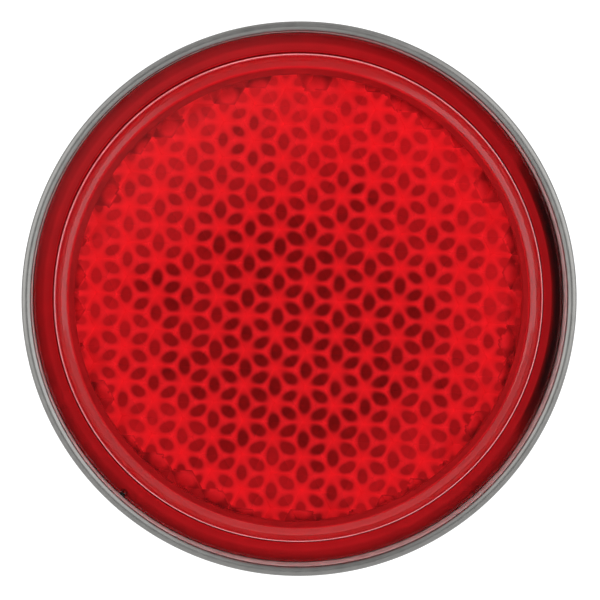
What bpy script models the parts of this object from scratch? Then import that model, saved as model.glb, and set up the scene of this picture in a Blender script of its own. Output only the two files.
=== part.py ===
"""Round prismatic reflector head for a driveway marker.

A clear red lens with cube-corner prisms on its back sits in a drawn metal
housing with a rolled rim. A square-necked stud, held by a riveted plate,
comes out of the back and takes a flat washer, a split lock washer and a nut.

Frame: the lens looks along -Y and +Z is up. The origin is on the stud's
axis, in the plane of the rear pad's back face, where the head meets a post.
"""

from math import cos, pi, radians, sin, sqrt, tan

import bmesh
import bpy
from mathutils import Matrix, Vector

MM = 0.001

# ---- driving dimensions, in metres -------------------------------------
RIM_RADIUS = 40.0 * MM          # outside of the rolled rim
RIM_BEAD_RADIUS = 0.7 * MM      # half the width of the rolled bead
SHEET = 0.8 * MM                # housing sheet thickness
LENS_RECESS = 1.5 * MM          # lens face below the rim's front edge
FLANGE_RECESS = 4.2 * MM        # lens flange below the rim's front edge
FLANGE_THICKNESS = 1.7 * MM
FLANGE_WIDTH = 3.0 * MM         # flange outside the raised body of the lens
FLANGE_EDGE = 0.25 * MM         # chamfer of the flange's front edge
LENS_ROUND = 2.0 * MM           # round-over of the lens face
LENS_WALL = 2.5 * MM            # clear plastic in front of the prisms
LENS_SKIRT_WALL = 1.8 * MM      # ring behind the flange, round the prisms
LENS_SKIRT_BACK = 9.0 * MM      # end of that ring below the rim's edge
FLANGE_NOTCH_RADIUS = 0.45 * MM
FLANGE_NOTCH_ANGLE = radians(228.0)
PRISM_PITCH = 5.08 * MM         # across the flats of one prism
PRISM_MARGIN = 2.8 * MM         # plain ring between prisms and lens edge
PRISM_TURN = radians(-2.1)      # turn of the prism rows from upright
PRISM_SHIFT = (1.47 * MM, 2.22 * MM)
PRISM_STEP = 0.2 * MM           # lowest prism corners above the web
PRISM_ROOT = 0.6 * MM           # depth of the prism block inside the web
BACKING_THICKNESS = 1.2 * MM
SEAL_THICKNESS = 0.6 * MM
SEAL_WIDTH = 1.9 * MM
HOUSING_CORNER = 3.0 * MM       # outside radius of the cup's back corner
STUD_RADIUS = 3.175 * MM        # quarter-inch stud
STUD_LENGTH = 25.4 * MM         # behind the housing
STUD_HEAD_RADIUS = 6.5 * MM
STUD_HEAD_HEIGHT = 1.4 * MM
STUD_END_CHAMFER = 0.7 * MM
PLATE_WIDTH = 27.0 * MM
PLATE_CORNER = 3.0 * MM
PLATE_THICKNESS = 1.2 * MM
RIVET_COUNT = 4
RIVET_CIRCLE = 13.5 * MM        # radius of the circle of rivets
RIVET_RADIUS = 1.5 * MM
RIVET_HEAD_RADIUS = 2.6 * MM
RIVET_HEAD_HEIGHT = 1.1 * MM
PAD_INNER = 18.5 * MM
PAD_INSET = 2.3 * MM            # pad's outer edge inside the floor's flat
PAD_THICKNESS = 2.5 * MM
PAD_EDGE = 0.4 * MM
WASHER_RADIUS = 7.94 * MM
WASHER_THICKNESS = 1.65 * MM
WASHER_EDGE = 0.2 * MM
LOCK_RADIUS = 6.2 * MM
LOCK_THICKNESS = 1.57 * MM
LOCK_LIFT = 0.8 * MM            # spring lift from one cut end to the other
LOCK_SLIT = radians(12.0)
NUT_FLATS = 11.11 * MM
NUT_THICKNESS = 5.56 * MM
NUT_CHAMFER_ANGLE = radians(30.0)
NUT_COUNTERSINK = 0.4 * MM      # depth and width of the bore's mouth

# ---- clearances ----------------------------------------------------------
SEAT_GAP = 0.3 * MM             # between pieces that rest on each other
LENS_FIT = 0.3 * MM             # flange and skirt to the housing wall
HOLE_FIT = 0.25 * MM            # stud and rivets in their holes
THREAD_FIT = 0.05 * MM          # nut on stud
WASHER_FIT = 0.395 * MM         # flat washer on stud
LOCK_FIT = 0.125 * MM           # lock washer on stud
PLATE_TO_BACKING = 0.5 * MM     # stud head behind the backing plate

# ---- faceting --------------------------------------------------------------
LARGE_STEPS = 60
SMALL_STEPS = 36
ARC_STEPS = 4
BEAD_STEPS = 8
ROUND_STEPS = 6
NOTCH_STEPS = 12
SHARP_ANGLE = radians(35.0)
WELD = 0.001 * MM               # points closer than this are one
PRISM_WELD = 0.01 * MM          # and points of neighbouring prisms
DRILL_BEYOND = 1.5 * MM         # length of a drill outside what it cuts

# ---- stations along the axis, measured from the rim's front edge -----------
FLANGE_BACK = FLANGE_RECESS + FLANGE_THICKNESS
SEAL_FRONT = FLANGE_BACK + SEAT_GAP
LEDGE_FRONT = SEAL_FRONT + SEAL_THICKNESS + SEAT_GAP
WEB_BACK = LENS_RECESS + LENS_WALL
BACKING_FRONT = LENS_SKIRT_BACK + SEAT_GAP
BACKING_BACK = BACKING_FRONT + BACKING_THICKNESS
HEAD_FRONT = BACKING_BACK + PLATE_TO_BACKING
HEAD_BACK = HEAD_FRONT + STUD_HEAD_HEIGHT
PLATE_FRONT = HEAD_BACK + SEAT_GAP
PLATE_BACK = PLATE_FRONT + PLATE_THICKNESS
FLOOR_FRONT = PLATE_BACK + SEAT_GAP
FLOOR_BACK = FLOOR_FRONT + SHEET
PAD_FRONT = FLOOR_BACK + SEAT_GAP
PAD_BACK = PAD_FRONT + PAD_THICKNESS
WASHER_FRONT = FLOOR_BACK + SEAT_GAP
LOCK_FRONT = WASHER_FRONT + WASHER_THICKNESS + SEAT_GAP
NUT_FRONT = LOCK_FRONT + LOCK_THICKNESS + LOCK_LIFT + SEAT_GAP
STUD_END = FLOOR_BACK + STUD_LENGTH

# ---- radii that follow from the driving ones ----------------------------
WALL_OUTER = RIM_RADIUS - RIM_BEAD_RADIUS
WALL_INNER = WALL_OUTER - SHEET
FLANGE_RADIUS = WALL_INNER - LENS_FIT
LENS_RADIUS = FLANGE_RADIUS - FLANGE_WIDTH
PRISM_FIELD_RADIUS = LENS_RADIUS - PRISM_MARGIN
CUP_INNER = LENS_RADIUS + LENS_FIT
CUP_OUTER = CUP_INNER + SHEET
PAD_OUTER = CUP_OUTER - HOUSING_CORNER - PAD_INSET
STUD_NECK_WIDTH = 2 * STUD_RADIUS
WASHER_BORE = STUD_RADIUS + WASHER_FIT
LOCK_BORE = STUD_RADIUS + LOCK_FIT
STUD_HOLE = STUD_RADIUS + HOLE_FIT
RIVET_HOLE = RIVET_RADIUS + HOLE_FIT
RIM_FRONT_Y = -PAD_BACK


def station(depth):
    """World Y of a point at a depth behind the rim's front edge."""
    return RIM_FRONT_Y + depth


def arc(centre, radius, start, stop, steps=ARC_STEPS):
    """Points (radius, depth) on an arc; angle 0 points outwards, 90 backwards."""
    angles = [start + (stop - start) * i / steps for i in range(steps + 1)]
    return [
        (centre[0] + radius * cos(radians(a)), centre[1] + radius * sin(radians(a)))
        for a in angles
    ]


def material(name, colour, roughness, metallic=0.0, transmission=0.0):
    """One Principled BSDF material."""
    made = bpy.data.materials.new(name)
    made.use_nodes = True
    shader = made.node_tree.nodes["Principled BSDF"]
    shader.inputs["Base Color"].default_value = (*colour, 1.0)
    shader.inputs["Roughness"].default_value = roughness
    shader.inputs["Metallic"].default_value = metallic
    shader.inputs["Transmission Weight"].default_value = transmission
    made.diffuse_color = (*colour, 1.0)
    return made


def add_object(name, mesh_builder, finish=None):
    """Turn a bmesh into a named, smooth-shaded object."""
    bmesh.ops.recalc_face_normals(mesh_builder, faces=mesh_builder.faces)
    mesh = bpy.data.meshes.new(name)
    mesh_builder.to_mesh(mesh)
    mesh_builder.free()
    mesh.shade_smooth()
    mesh.set_sharp_from_angle(angle=SHARP_ANGLE)
    if finish:
        mesh.materials.append(finish)
    made = bpy.data.objects.new(name, mesh)
    bpy.context.scene.collection.objects.link(made)
    return made


def turned(name, profile, steps, finish=None, closed=True):
    """Spin a profile of (radius, depth) points about the stud's axis."""
    builder = bmesh.new()
    points = [builder.verts.new((r, station(d), 0.0)) for r, d in profile]
    pairs = list(zip(points, points[1:]))
    if closed:
        pairs.append((points[-1], points[0]))
    edges = [builder.edges.new(pair) for pair in pairs]
    bmesh.ops.spin(
        builder, geom=points + edges, cent=(0, 0, 0), axis=(0, 1, 0),
        angle=2 * pi, steps=steps, use_merge=True,
    )
    bmesh.ops.remove_doubles(builder, verts=builder.verts, dist=WELD)
    return add_object(name, builder, finish)


def prism_bar(name, outline, front, back, finish=None):
    """Extrude an outline of (x, z) points from one depth to another."""
    builder = bmesh.new()
    corners = [builder.verts.new((x, station(front), z)) for x, z in outline]
    face = builder.faces.new(corners)
    grown = bmesh.ops.extrude_face_region(builder, geom=[face])["geom"]
    moved = [g for g in grown if isinstance(g, bmesh.types.BMVert)]
    bmesh.ops.translate(builder, verts=moved, vec=(0, back - front, 0))
    return add_object(name, builder, finish)


def ring_outline(radius, count, turn=0.0, centre=(0.0, 0.0)):
    """Evenly spaced (x, z) points on a circle."""
    return [
        (
            centre[0] + radius * cos(turn + 2 * pi * i / count),
            centre[1] + radius * sin(turn + 2 * pi * i / count),
        )
        for i in range(count)
    ]


def rounded_square(width, corner):
    """Outline of a square with round corners."""
    inset = width / 2 - corner
    outline = []
    for quarter in range(4):
        middle = pi / 4 + quarter * pi / 2
        cx = inset * sqrt(2) * cos(middle)
        cz = inset * sqrt(2) * sin(middle)
        for i in range(ARC_STEPS + 1):
            angle = middle - pi / 4 + pi / 2 * i / ARC_STEPS
            outline.append((cx + corner * cos(angle), cz + corner * sin(angle)))
    return outline


def boolean(target, tool, operation):
    """Apply a Boolean to the target with a tool that the build leaves out."""
    tool.hide_render = True
    tool.display_type = "WIRE"
    modifier = target.modifiers.new(tool.name, "BOOLEAN")
    modifier.operation = operation
    modifier.solver = "EXACT"
    modifier.object = tool


# ---- the lens -----------------------------------------------------------
def lens_body(finish):
    """Raised round face, flange and rear skirt, turned in one profile."""
    skirt_inner = LENS_RADIUS - LENS_SKIRT_WALL
    face = arc((LENS_RADIUS - LENS_ROUND, LENS_RECESS + LENS_ROUND), LENS_ROUND, -90, 0, ROUND_STEPS)
    profile = [(0.0, LENS_RECESS)] + face
    profile += [
        (LENS_RADIUS, FLANGE_RECESS),
        (FLANGE_RADIUS - FLANGE_EDGE, FLANGE_RECESS),
        (FLANGE_RADIUS, FLANGE_RECESS + FLANGE_EDGE),
        (FLANGE_RADIUS, FLANGE_BACK),
        (LENS_RADIUS, FLANGE_BACK),
        (LENS_RADIUS, LENS_SKIRT_BACK),
        (skirt_inner, LENS_SKIRT_BACK),
        (skirt_inner, WEB_BACK),
        (0.0, WEB_BACK),
    ]
    return turned("reflector_lens", profile, LARGE_STEPS, finish, closed=False)


def prism_cells():
    """Centres (x, z) of every hexagonal prism that reaches into the field."""
    reach = int(2 * PRISM_FIELD_RADIUS / PRISM_PITCH) + 1
    turn = Matrix.Rotation(PRISM_TURN, 2)
    up = turn @ Vector((0.0, PRISM_PITCH))
    across = turn @ Vector((PRISM_PITCH * sqrt(3) / 2, PRISM_PITCH / 2))
    start = Vector(PRISM_SHIFT)
    cells = []
    for row in range(-reach, reach + 1):
        for column in range(-reach, reach + 1):
            centre = start + across * row + up * column
            if centre.length < PRISM_FIELD_RADIUS + PRISM_PITCH:
                cells.append(centre)
    return cells


def prism_block():
    """Slab whose back is a field of cube corners.

    A cube corner with its point backwards is a hexagon from behind: the point
    is at the centre, three corners lie one drop lower and three lie two drops
    lower, in turn, with drop = cube edge / sqrt(3).
    """
    corner_radius = PRISM_PITCH / sqrt(3)
    drop = PRISM_PITCH / sqrt(2) / sqrt(3)
    low = WEB_BACK + PRISM_STEP
    slab_front = WEB_BACK - PRISM_ROOT
    builder = bmesh.new()
    for centre in prism_cells():
        point = builder.verts.new((centre.x, station(low + 2 * drop), centre.y))
        corners = []
        for i in range(6):
            angle = PRISM_TURN + i * pi / 3
            height = low if i % 2 else low + drop
            x = centre.x + corner_radius * cos(angle)
            z = centre.y + corner_radius * sin(angle)
            corners.append(builder.verts.new((x, station(height), z)))
        for i in range(0, 6, 2):
            before = corners[i - 1]
            builder.faces.new((point, before, corners[i]))
            builder.faces.new((point, corners[i], corners[i + 1]))
    bmesh.ops.remove_doubles(builder, verts=builder.verts, dist=PRISM_WELD)
    border = [edge for edge in builder.edges if edge.is_boundary]
    skirt = bmesh.ops.extrude_edge_only(builder, edges=border)["geom"]
    lowered = [g for g in skirt if isinstance(g, bmesh.types.BMVert)]
    for vert in lowered:
        vert.co.y = station(slab_front)
    rim = [g for g in skirt if isinstance(g, bmesh.types.BMEdge) and g.is_boundary]
    bmesh.ops.contextual_create(builder, geom=rim)
    return add_object("prism_block", builder)


def reflector_lens(finish):
    """Lens body with the round prism field joined on and the notch cut."""
    lens = lens_body(finish)
    prisms = prism_block()
    field = prism_bar(
        "prism_field", ring_outline(PRISM_FIELD_RADIUS, LARGE_STEPS, turn=pi / LARGE_STEPS),
        LENS_RECESS, LENS_SKIRT_BACK,
    )
    boolean(prisms, field, "INTERSECT")
    boolean(lens, prisms, "UNION")
    centre = (
        FLANGE_RADIUS * cos(FLANGE_NOTCH_ANGLE),
        FLANGE_RADIUS * sin(FLANGE_NOTCH_ANGLE),
    )
    notch = prism_bar(
        "flange_notch", ring_outline(FLANGE_NOTCH_RADIUS, NOTCH_STEPS, centre=centre),
        LENS_RECESS, LEDGE_FRONT,
    )
    boolean(lens, notch, "DIFFERENCE")
    return lens


# ---- the housing and what is fixed to it ----------------------------------
def rivet_centres():
    """Centres (x, z) of the rivets."""
    return ring_outline(RIVET_CIRCLE, RIVET_COUNT, turn=pi / RIVET_COUNT)


def cut_rivet_holes(target):
    """Drill the rivet holes right through the target."""
    for number, centre in enumerate(rivet_centres(), start=1):
        drill = prism_bar(
            f"{target.name}_drill_{number}",
            ring_outline(RIVET_HOLE, SMALL_STEPS // 2, centre=centre),
            HEAD_FRONT, PAD_BACK,
        )
        boolean(target, drill, "DIFFERENCE")


def rim_housing(finish):
    """Drawn cup: rolled bead, wall, ledge for the lens, and flat floor."""
    bead_centre = (RIM_RADIUS - RIM_BEAD_RADIUS, RIM_BEAD_RADIUS)
    ledge_back = LEDGE_FRONT + SHEET
    outer_corner = (CUP_OUTER - HOUSING_CORNER, FLOOR_BACK - HOUSING_CORNER)
    profile = arc(bead_centre, RIM_BEAD_RADIUS, -180, 90, BEAD_STEPS)
    profile += [(WALL_OUTER, ledge_back), (CUP_OUTER, ledge_back)]
    profile += arc(outer_corner, HOUSING_CORNER, 0, 90)
    profile += [(STUD_HOLE, FLOOR_BACK), (STUD_HOLE, FLOOR_FRONT)]
    profile += arc(outer_corner, HOUSING_CORNER - SHEET, 90, 0)
    profile += [(CUP_INNER, LEDGE_FRONT), (WALL_INNER, LEDGE_FRONT)]
    housing = turned("rim_housing", profile, LARGE_STEPS, finish)
    cut_rivet_holes(housing)
    return housing


def lens_seal_ring(finish):
    """Flat ring that seals the flange to the housing's ledge."""
    inner = FLANGE_RADIUS - SEAL_WIDTH
    back = SEAL_FRONT + SEAL_THICKNESS
    profile = [
        (inner, SEAL_FRONT), (FLANGE_RADIUS, SEAL_FRONT), (FLANGE_RADIUS, back), (inner, back),
    ]
    return turned("lens_seal_ring", profile, LARGE_STEPS, finish)


def backing_plate(finish):
    """Disc that closes the air space behind the prisms."""
    profile = [
        (0.0, BACKING_FRONT), (LENS_RADIUS, BACKING_FRONT),
        (LENS_RADIUS, BACKING_BACK), (0.0, BACKING_BACK),
    ]
    return turned("backing_plate", profile, LARGE_STEPS, finish, closed=False)


def stud_plate(finish):
    """Square plate that holds the stud's neck against turning."""
    plate = prism_bar(
        "stud_plate", rounded_square(PLATE_WIDTH, PLATE_CORNER), PLATE_FRONT, PLATE_BACK, finish,
    )
    neck_hole = STUD_NECK_WIDTH / 2 + HOLE_FIT
    square = prism_bar(
        "neck_hole", ring_outline(neck_hole * sqrt(2), 4, turn=pi / 4), HEAD_FRONT, PAD_BACK,
    )
    boolean(plate, square, "DIFFERENCE")
    cut_rivet_holes(plate)
    return plate


def mount_stud(finish):
    """Low round head, square neck and straight shank with a chamfered end."""
    crown = STUD_HEAD_HEIGHT / 2
    profile = [
        (0.0, HEAD_FRONT),
        (STUD_HEAD_RADIUS / 2, HEAD_FRONT),
        (STUD_HEAD_RADIUS, HEAD_FRONT + crown),
        (STUD_HEAD_RADIUS, HEAD_BACK),
        (STUD_RADIUS, HEAD_BACK),
        (STUD_RADIUS, STUD_END - STUD_END_CHAMFER),
        (STUD_RADIUS - STUD_END_CHAMFER, STUD_END),
        (0.0, STUD_END),
    ]
    stud = turned("mount_stud", profile, SMALL_STEPS, finish, closed=False)
    neck = prism_bar(
        "stud_neck", ring_outline(STUD_NECK_WIDTH / sqrt(2), 4, turn=pi / 4),
        HEAD_BACK - crown / 2, PLATE_BACK,
    )
    boolean(stud, neck, "UNION")
    return stud


def plate_rivets(finish):
    """Rivets with a domed head outside and a flat one on the stud plate."""
    tail_back = PLATE_FRONT - SEAT_GAP
    tail_front = tail_back - RIVET_HEAD_HEIGHT
    head_front = FLOOR_BACK + SEAT_GAP
    profile = [
        (0.0, tail_front),
        (RIVET_HEAD_RADIUS, tail_front),
        (RIVET_HEAD_RADIUS, tail_back),
        (RIVET_RADIUS, tail_back),
        (RIVET_RADIUS, head_front),
        (RIVET_HEAD_RADIUS, head_front),
    ]
    for i in range(1, ARC_STEPS):
        angle = pi / 2 * i / ARC_STEPS
        profile.append(
            (RIVET_HEAD_RADIUS * cos(angle), head_front + RIVET_HEAD_HEIGHT * sin(angle))
        )
    profile.append((0.0, head_front + RIVET_HEAD_HEIGHT))
    first = turned("plate_rivet_1", profile, SMALL_STEPS // 2, finish, closed=False)
    rivets = [first]
    for number in range(2, RIVET_COUNT + 1):
        copy = bpy.data.objects.new(f"plate_rivet_{number}", first.data)
        bpy.context.scene.collection.objects.link(copy)
        rivets.append(copy)
    for rivet, (x, z) in zip(rivets, rivet_centres()):
        rivet.location = (x, 0.0, z)
    return rivets


def rear_pad(finish):
    """Soft ring that bears on the post."""
    profile = [
        (PAD_INNER, PAD_FRONT),
        (PAD_OUTER, PAD_FRONT),
        (PAD_OUTER, PAD_BACK - PAD_EDGE),
        (PAD_OUTER - PAD_EDGE, PAD_BACK),
        (PAD_INNER + PAD_EDGE, PAD_BACK),
        (PAD_INNER, PAD_BACK - PAD_EDGE),
    ]
    return turned("rear_pad", profile, LARGE_STEPS, finish)


# ---- what runs on the stud ------------------------------------------------
def flat_washer(finish):
    """Plain washer against the housing floor."""
    back = WASHER_FRONT + WASHER_THICKNESS
    profile = [
        (WASHER_BORE, WASHER_FRONT),
        (WASHER_RADIUS, WASHER_FRONT),
        (WASHER_RADIUS, back - WASHER_EDGE),
        (WASHER_RADIUS - WASHER_EDGE, back),
        (WASHER_BORE, back),
    ]
    return turned("flat_washer", profile, SMALL_STEPS, finish)


def lock_washer(finish):
    """Split ring of rectangular section that climbs like one coil of a spring."""
    section = [
        (LOCK_BORE, LOCK_FRONT),
        (LOCK_RADIUS, LOCK_FRONT),
        (LOCK_RADIUS, LOCK_FRONT + LOCK_THICKNESS),
        (LOCK_BORE, LOCK_FRONT + LOCK_THICKNESS),
    ]
    builder = bmesh.new()
    rings = []
    for step in range(SMALL_STEPS + 1):
        share = step / SMALL_STEPS
        angle = pi / 2 + LOCK_SLIT / 2 + share * (2 * pi - LOCK_SLIT)
        rings.append([
            builder.verts.new((r * cos(angle), station(d + share * LOCK_LIFT), r * sin(angle)))
            for r, d in section
        ])
    for ring, following in zip(rings, rings[1:]):
        for i in range(len(section)):
            builder.faces.new((ring[i - 1], ring[i], following[i], following[i - 1]))
    builder.faces.new(rings[0])
    builder.faces.new(rings[-1])
    return add_object("lock_washer", builder, finish)


def hex_nut(finish):
    """Hexagon with chamfered corners and a countersunk bore."""
    back = NUT_FRONT + NUT_THICKNESS
    corner = NUT_FLATS / sqrt(3)
    flat = NUT_FLATS / 2
    fall = (corner - flat) * tan(NUT_CHAMFER_ANGLE)
    nut = prism_bar("hex_nut", ring_outline(corner, 6), NUT_FRONT, back, finish)
    barrel = turned(
        "nut_chamfer",
        [
            (0.0, NUT_FRONT), (flat, NUT_FRONT), (corner, NUT_FRONT + fall),
            (corner, back - fall), (flat, back), (0.0, back),
        ],
        SMALL_STEPS, closed=False,
    )
    boolean(nut, barrel, "INTERSECT")
    bore = STUD_RADIUS + THREAD_FIT
    mouth = bore + NUT_COUNTERSINK
    drill = turned(
        "nut_bore",
        [
            (0.0, NUT_FRONT - DRILL_BEYOND), (mouth, NUT_FRONT - DRILL_BEYOND),
            (mouth, NUT_FRONT), (bore, NUT_FRONT + NUT_COUNTERSINK),
            (bore, back - NUT_COUNTERSINK), (mouth, back),
            (mouth, back + DRILL_BEYOND), (0.0, back + DRILL_BEYOND),
        ],
        SMALL_STEPS, closed=False,
    )
    boolean(nut, drill, "DIFFERENCE")
    return nut


def build():
    """Make every piece of the head."""
    for old in list(bpy.data.objects):
        bpy.data.objects.remove(old)
    red_acrylic = material("red_acrylic", (0.62, 0.01, 0.015), 0.08, transmission=0.6)
    rim_metal = material("rim_metal", (0.42, 0.41, 0.39), 0.35, metallic=1.0)
    zinc_steel = material("zinc_steel", (0.60, 0.60, 0.58), 0.30, metallic=1.0)
    seal_rubber = material("seal_rubber", (0.62, 0.60, 0.57), 0.7)
    pad_rubber = material("pad_rubber", (0.025, 0.025, 0.025), 0.8)
    white_plastic = material("white_plastic", (0.75, 0.75, 0.72), 0.5)

    reflector_lens(red_acrylic)
    rim_housing(rim_metal)
    lens_seal_ring(seal_rubber)
    backing_plate(white_plastic)
    stud_plate(zinc_steel)
    mount_stud(zinc_steel)
    plate_rivets(zinc_steel)
    rear_pad(pad_rubber)

    nut_axis = bpy.data.objects.new("nut_axis", None)
    bpy.context.scene.collection.objects.link(nut_axis)
    for piece in (flat_washer(zinc_steel), lock_washer(zinc_steel), hex_nut(zinc_steel)):
        piece.parent = nut_axis


build()
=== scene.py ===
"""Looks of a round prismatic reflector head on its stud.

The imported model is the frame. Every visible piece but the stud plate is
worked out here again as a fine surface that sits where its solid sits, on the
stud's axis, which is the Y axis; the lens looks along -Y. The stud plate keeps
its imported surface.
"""

import bpy
import numpy as np
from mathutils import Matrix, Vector


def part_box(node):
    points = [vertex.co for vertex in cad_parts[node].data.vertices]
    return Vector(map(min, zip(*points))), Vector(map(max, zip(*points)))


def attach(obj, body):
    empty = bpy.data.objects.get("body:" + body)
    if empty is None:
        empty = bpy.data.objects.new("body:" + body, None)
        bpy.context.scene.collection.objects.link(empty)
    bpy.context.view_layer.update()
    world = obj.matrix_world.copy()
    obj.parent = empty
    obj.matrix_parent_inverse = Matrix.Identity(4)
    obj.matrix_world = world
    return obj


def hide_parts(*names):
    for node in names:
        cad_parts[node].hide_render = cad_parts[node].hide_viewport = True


MM = 0.001
TAU = 2 * np.pi

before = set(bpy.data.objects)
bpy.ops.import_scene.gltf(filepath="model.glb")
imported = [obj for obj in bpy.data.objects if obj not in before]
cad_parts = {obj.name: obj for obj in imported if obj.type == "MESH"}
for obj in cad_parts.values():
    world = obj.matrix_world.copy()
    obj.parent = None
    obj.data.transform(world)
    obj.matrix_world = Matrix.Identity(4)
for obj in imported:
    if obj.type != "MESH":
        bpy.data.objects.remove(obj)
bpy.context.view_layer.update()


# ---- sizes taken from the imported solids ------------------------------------
def reach(node):
    """(front y, back y, outer radius) of a node that is round about the stud."""
    low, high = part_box(node)
    return low.y, high.y, high.x


RIM_FRONT, RIM_BACK, RIM_RADIUS = reach("rim_housing")
LENS_FRONT, LENS_BACK, FLANGE_RADIUS = reach("reflector_lens")
SEAL_FRONT, SEAL_BACK, SEAL_RADIUS = reach("lens_seal_ring")
BACKING_FRONT, BACKING_BACK, LENS_RADIUS = reach("backing_plate")
PAD_FRONT, PAD_BACK, PAD_RADIUS = reach("rear_pad")
WASHER_FRONT, WASHER_BACK, WASHER_RADIUS = reach("flat_washer")
LOCK_FRONT, LOCK_BACK, LOCK_RADIUS = reach("lock_washer")
NUT_FRONT, NUT_BACK, NUT_CORNER = reach("hex_nut")
STUD_FRONT, STUD_END, STUD_HEAD_RADIUS = reach("mount_stud")

# ---- sizes of the details, in metres -----------------------------------------
BEAD_RADIUS = 0.7 * MM
SHEET = 0.8 * MM
CUP_CORNER = 3.0 * MM
FLANGE_DEPTH = 2.7 * MM         # flange face behind the lens face
FLANGE_THICKNESS = 1.7 * MM
FLANGE_FIT = 0.2 * MM           # the flange swells almost to the rim's wall
FLANGE_EDGE = FLANGE_RADIUS + FLANGE_FIT
FLANGE_ROUND = 0.25 * MM        # small radius round the flange's front edge
FLANGE_ROWS = 8                 # rows across the flange's back
FOOT_GROOVE = 0.35 * MM         # radius of the groove where the flange meets the lens
FOOT_SINK = 0.02 * MM
EDGE_BREAK = 0.2 * MM           # small bevel on moulded and headed edges
HAIR = 0.1 * MM                 # tolerance in telling one surface from the next
LENS_ROUND = 2.0 * MM
FACE_ROWS = (0.95, 0.8, 0.6, 0.4, 0.2, 0.08)    # rings of the flat face, as shares
WEB = 2.5 * MM                  # clear plastic in front of the prisms
SKIRT_WALL = 1.8 * MM
LENS_MARGIN = 2.8 * MM          # plain ring outside the prisms
PRISM_PITCH = 5.08 * MM
PRISM_TURN = np.radians(-2.1)
PRISM_SHIFT = np.array([1.47, 2.22]) * MM
PRISM_STEP = 0.2 * MM
PRISM_CUTS = 10                 # grid steps along one side of a prism's sector
GRID_SPREAD = 1.3               # grid laid out past the field before it is cut round
EDGE_GAP = 0.35                 # cut points stay this share of a step inside the field
RIDGE_SOFTNESS = 0.06 * MM
MARGIN_TONE = 0.12              # paleness of the plain ring round the prisms, 0 to 1
SKIRT_TONE = 1.0                # and of the skirt behind it
RIB = 0.17 * MM                 # half-round raised line at the foot of the lens
RIB_PLACE = 0.50 * MM           # its middle in front of the flange
BACK_ROWS = 15                  # rows of the lens's outline that are moulded, not polished
RIB_ROWS = (32, 38)             # rows of the raised line round the lens's foot, pale pink as a painted highlight
OVAL_LONG = 1.14 * MM         # half sizes of the dark oval of painted reflection between two prisms' points
OVAL_SHORT = 0.74 * MM
DEEP_IN_OVAL = -9.0                 # a distance outside the painted ovals that lies deep inside one
FADE_RADIUS = 32 * MM           # unit of the distances over which the painted ovals fade
FADE_DROP = 0.15                # the darkest painted place is this far below the middle
PALEST_OVAL = 0.6
PART_SPOT = 1.35 * MM           # size of the pale spots of painted highlight on prisms that the edge cuts
PART_GROUND = 0.4               # paleness of those prisms round the spots
PART_MARGIN = 0.15 * MM         # a prism's point this near the edge counts as cut
FLANGE_PAINTED_LIGHT = [                # radius in mm, paleness of the flange's back: painted light and shade
    (35.2, -0.7), (35.6, -0.7), (36.0, 0.45), (36.8, 0.50), (37.2, 0.32), (37.8, 0.25),
    (38.4, 0.05),
]
SHADE_STREAK_LEVELS = [(36.9, 0), (37.3, 1), (38.0, 1), (38.4, 0.4)]   # radius in mm, blackness of the streak of painted shade
SHADE_STREAK_START = 0.84             # cosine of the heading where the streak of painted shade begins
SHADE_STREAK_FADE = 0.1
BLACKEST = 0.95
NOTCH_ANGLE = np.radians(228.0)
NOTCH_RADIUS = 0.45 * MM
NOTCH_CUTS = 12                 # extra steps of the lens across its notch
NOTCH_FADE = 1.4 * MM           # how far inside the edge the notch still moves points
GATE_ANGLE = np.radians(91.5)   # where the lens was trimmed from its runner
GATE_HALF = 3.2 * MM            # half the trimmed mark's length
GATE_DEPTH = 0.10 * MM
GATE_RADIUS = 34.4 * MM
GATE_WIDTH = 0.16 * MM
CUP_GAP = 0.3 * MM              # between the cup and the lens or its seal
LEDGE_ROUND = 0.5 * MM
LEDGE_FOOT = 0.3 * MM
HOLE_BREAK = 0.1 * MM
SEAL_WIDTH = 1.9 * MM
STUD_RADIUS = 3.175 * MM
STUD_HOLE = 3.425 * MM
STUD_HEAD_THICKNESS = 1.4 * MM
STUD_HEAD_DOME = 0.7 * MM
STUD_CHAMFER = 0.7 * MM
THREAD_START = -2.0 * MM
THREAD_PITCH = 1.27 * MM
THREAD_DEPTH = 0.78 * MM
THREAD_CUTS = 12                # rows for one turn of the thread
THREAD_FLAT = 0.12              # share of a turn that is flat at the crest, and at the root
THREAD_RUNOUT = 0.3 * MM        # plain shank kept in front of the thread
RIVET_RADIUS = 1.5 * MM
RIVET_HEAD = 2.6 * MM
RIVET_DOME = 1.1 * MM
RIVET_STEPS = 48
PAD_ROUND = 0.5 * MM
SEAL_ROUND = 0.15 * MM
WASHER_ROUND = 0.3 * MM
PAD_INNER = 18.5 * MM
WASHER_BORE = 3.57 * MM
LOCK_BORE = 3.3 * MM
LOCK_THICKNESS = 1.57 * MM
LOCK_SLIT = np.radians(12.0)
LOCK_ROUND = 0.22 * MM
LOCK_STEPS = 120
NUT_FLATS = 11.11 * MM
NUT_BORE = 3.225 * MM
NUT_GROOVE = 0.45 * MM
NUT_MOUTH = 0.4 * MM
NUT_FACE = 0.96                 # round end face, as a share of the inscribed circle
NUT_TRIM = 0.992                # corners after trimming, as a share of the full corner
NUT_CONE = np.radians(30)
NUT_STEPS = 144
AROUND = 360                    # steps round a large piece
AROUND_SMALL = 96


# ---- meshes from arrays --------------------------------------------------------
def make_piece(name, points, faces, finish, body, slot, replaced=(), sharp=35.0):
    """A smooth-shaded mesh piece from an array of points and lists of faces."""
    mesh = bpy.data.meshes.new(name)
    mesh.from_pydata(points.tolist(), [], faces)
    mesh.update()
    mesh.shade_smooth()
    mesh.set_sharp_from_angle(angle=np.radians(sharp))
    mesh.materials.append(finish)
    piece = bpy.data.objects.new(name, mesh)
    bpy.context.scene.collection.objects.link(piece)
    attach(piece, body)
    if replaced:
        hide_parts(*replaced)
    return piece


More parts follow.
